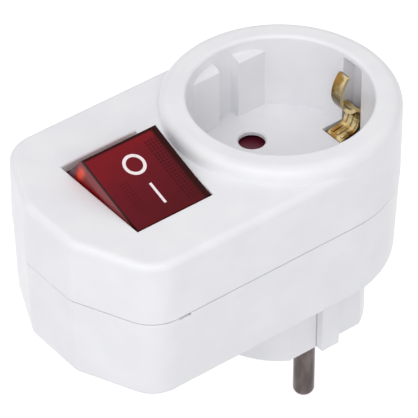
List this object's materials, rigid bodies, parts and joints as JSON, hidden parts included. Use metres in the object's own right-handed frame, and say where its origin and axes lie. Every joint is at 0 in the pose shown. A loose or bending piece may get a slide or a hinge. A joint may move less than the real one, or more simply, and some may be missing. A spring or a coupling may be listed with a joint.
{
  "type": "switched socket adapter",
  "caption": "Plug-in socket adapter: round socket cup with side earth clips over an earthed plug, and an illuminated rocker switch on a long body.",
  "frame": {"origin": "centre of the plug's front face, midway between its two pins", "axes": "+Z out of the wall socket and up the socket cup, -X towards the switch end, +Y across the body from the front pin to the back pin"},
  "size_m": [0.087, 0.0516, 0.0804],
  "materials": {
    "white_shell": "satin",
    "red_lens": "polished translucent",
    "red_shutter": "satin",
    "switch_black": "matt",
    "insert_plastic": "matt",
    "brass_strip": "bright rolled",
    "nickel_pin": "nickel plated",
    "screw_steel": "zinc plated",
    "spring_steel": "drawn wire",
    "lead_wire": "tinned",
    "lamp_glass": "clear",
    "resistor_body": "lacquered"
  },
  "bodies": {
    "housing": {"upper_shell": "white_shell", "lower_shell": "white_shell", "housing_screws": "screw_steel", "plug_pin_front": "nickel_pin", "plug_pin_back": "nickel_pin", "pin_carrier": "insert_plastic", "feed_busbar_front": "brass_strip", "feed_busbar_back": "brass_strip", "feed_terminal_left": "brass_strip", "feed_terminal_right": "brass_strip", "load_terminal_left": "brass_strip", "load_terminal_right": "brass_strip", "load_busbar_front": "brass_strip", "load_busbar_back": "brass_strip", "socket_contact_front": "brass_strip", "socket_contact_back": "brass_strip", "contact_holder": "insert_plastic", "shutter_carrier": "insert_plastic", "carrier_screws": "screw_steel", "shutter_spring": "spring_steel", "earth_bridge": "brass_strip", "plug_earth_strip_right": "brass_strip", "plug_earth_strip_left": "brass_strip", "switch_housing": "switch_black", "switch_screws": "screw_steel", "rocker_pivots": "screw_steel"},
    "rocker": {"rocker": "red_lens", "neon_lamp": "lamp_glass", "lamp_resistor": "resistor_body", "lamp_leads": "lead_wire", "plunger_spring_left": "spring_steel", "plunger_spring_right": "spring_steel"},
    "plunger_left": {"plunger_left": "brass_strip"},
    "plunger_right": {"plunger_right": "brass_strip"},
    "seesaw_left": {"seesaw_left": "brass_strip"},
    "seesaw_right": {"seesaw_right": "brass_strip"},
    "shutter": {"shutter": "red_shutter"},
    "earth_clip_right": {"earth_clip_right": "brass_strip"},
    "earth_clip_left": {"earth_clip_left": "brass_strip"}
  },
  "joints": [
    {"name": "rocker_hinge", "type": "hinge", "parent": "housing", "child": "rocker", "pos_m": [-0.0383, -0.00035, 0.04785], "axis": [1, 0, 0], "range_deg": [-38, 0]},
    {"name": "plunger_left_slide", "type": "slide", "parent": "rocker", "child": "plunger_left", "axis": [0, -0.3256, 0.9455], "range_m": [0, 0.0008], "stiffness_N_per_m": 250, "springref_m": -0.002, "deforming": ["plunger_spring_left"]},
    {"name": "plunger_right_slide", "type": "slide", "parent": "rocker", "child": "plunger_right", "axis": [0, -0.3256, 0.9455], "range_m": [0, 0.0008], "stiffness_N_per_m": 250, "springref_m": -0.002, "deforming": ["plunger_spring_right"]},
    {"name": "seesaw_left_hinge", "type": "hinge", "parent": "housing", "child": "seesaw_left", "pos_m": [-0.043, -0.00035, 0.03617], "axis": [1, 0, 0], "range_deg": [0, 14]},
    {"name": "seesaw_right_hinge", "type": "hinge", "parent": "housing", "child": "seesaw_right", "pos_m": [-0.0336, -0.00035, 0.03617], "axis": [1, 0, 0], "range_deg": [0, 14]},
    {"name": "shutter_hinge", "type": "hinge", "parent": "housing", "child": "shutter", "pos_m": [0, 0, 0.038], "axis": [0, 0, 1], "range_deg": [0, 42], "stiffness_Nm_per_rad": 0.002, "springref_deg": -17.19, "deforming": ["shutter_spring"]},
    {"name": "earth_clip_right_hinge", "type": "hinge", "parent": "housing", "child": "earth_clip_right", "pos_m": [0.0148, 0, 0.03515], "axis": [0, 1, 0], "range_deg": [0, 6], "stiffness_Nm_per_rad": 0.7, "springref_deg": -1.72},
    {"name": "earth_clip_left_hinge", "type": "hinge", "parent": "housing", "child": "earth_clip_left", "pos_m": [-0.0148, 0, 0.03515], "axis": [0, -1, 0], "range_deg": [0, 6], "stiffness_Nm_per_rad": 0.7, "springref_deg": -1.72}
  ],
  "couplings": [
    {"joint": "seesaw_left_hinge", "follows": "rocker_hinge", "ratio": -0.36842},
    {"joint": "seesaw_right_hinge", "follows": "rocker_hinge", "ratio": -0.36842}
  ]
}
